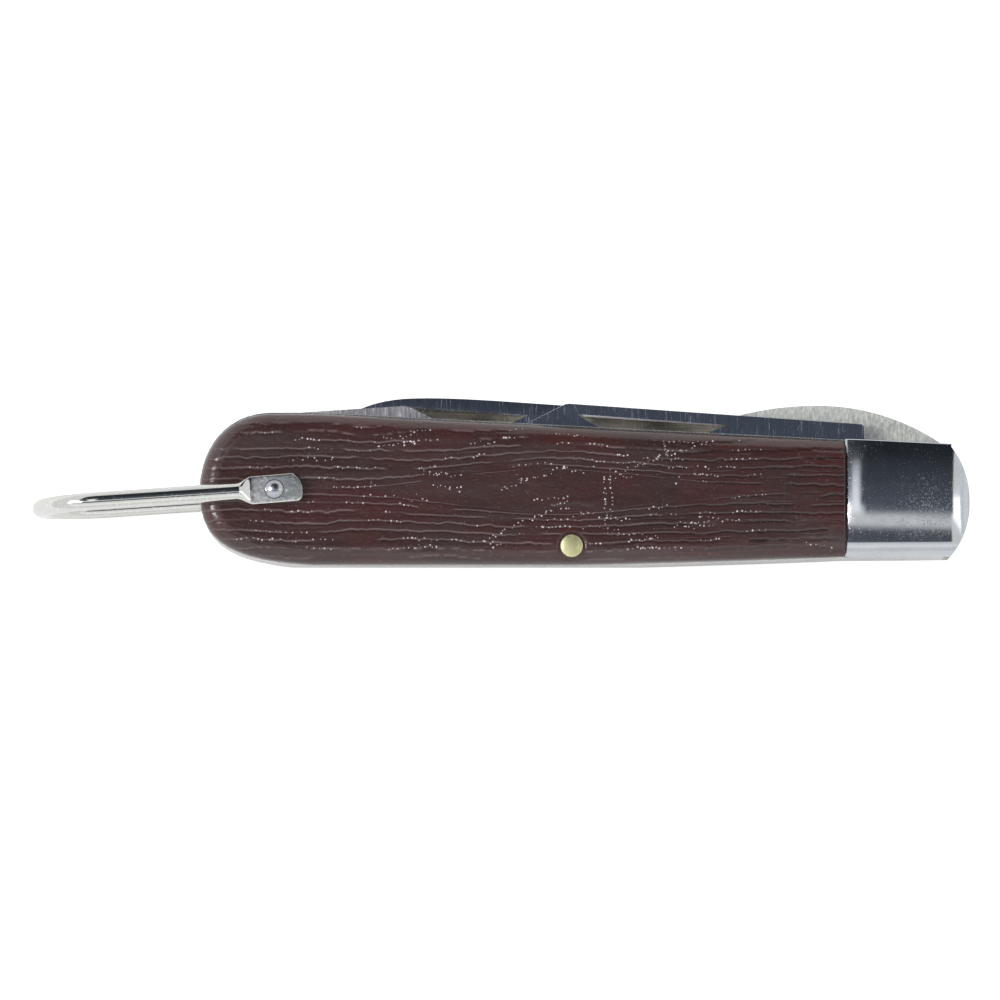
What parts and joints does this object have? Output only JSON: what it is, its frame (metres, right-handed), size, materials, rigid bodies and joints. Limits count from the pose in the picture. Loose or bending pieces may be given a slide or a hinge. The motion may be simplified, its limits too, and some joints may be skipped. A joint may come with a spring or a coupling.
{
  "type": "folding pocket knife",
  "caption": "Closed folding work knife with a spear blade, a locking screwdriver and wire-stripper blade, brown grained covers, a steel bolster and a wire bail.",
  "frame": {"origin": "on the table under the middle of the closed knife lying on its rear side", "axes": "+X from the bail end to the bolster, +Y towards the backs of the folded tools, +Z from the rear cover to the front cover"},
  "size_m": [0.1165, 0.0212, 0.0178],
  "materials": {
    "cover": "moulded wood grain, glossy",
    "bolster": "polished nickel silver",
    "liner": "satin",
    "leaf": "tumbled, matt and scratched",
    "spring": "ground",
    "steel_pin": "polished",
    "brass_pin": "polished",
    "blade": "mirror polished, lightly scratched",
    "bail": "nickel plated"
  },
  "bodies": {
    "handle": {"front_cover": "cover", "rear_cover": "cover", "front_bolster": "bolster", "rear_bolster": "bolster", "front_liner": "liner", "rear_liner": "liner", "centre_liner": "liner", "front_spring": "spring", "rear_spring": "spring", "pivot_pin": "steel_pin", "centre_pin": "brass_pin", "bail_pin": "steel_pin"},
    "spear_blade": {"spear_blade": "blade"},
    "screwdriver_blade": {"screwdriver_blade": "blade"},
    "lock_leaf": {"lock_leaf": "leaf"},
    "bail": {"bail": "bail"}
  },
  "joints": [
    {"name": "spear_hinge", "type": "hinge", "parent": "handle", "child": "spear_blade", "pos_m": [0.0502, -0.00115, 0.0073], "axis": [0, 0, -1], "range_deg": [0, 176], "deforming": ["rear_spring"]},
    {"name": "screwdriver_hinge", "type": "hinge", "parent": "handle", "child": "screwdriver_blade", "pos_m": [0.0502, -0.00115, 0.0105], "axis": [0, 0, -1], "range_deg": [0, 176], "deforming": ["front_spring", "lock_leaf"]},
    {"name": "leaf_flex", "type": "hinge", "parent": "handle", "child": "lock_leaf", "pos_m": [0.002, 0.005, 0.0089], "axis": [0, -1, 0], "range_deg": [0, 1.1]},
    {"name": "bail_hinge", "type": "hinge", "parent": "handle", "child": "bail", "pos_m": [-0.02785, -0.00105, 0.0089], "axis": [0, 0, 1], "range_deg": [-154, 150]}
  ],
  "couplings": [
    {"joint": "leaf_flex", "follows": "screwdriver_hinge", "ratio": 0.00615}
  ]
}
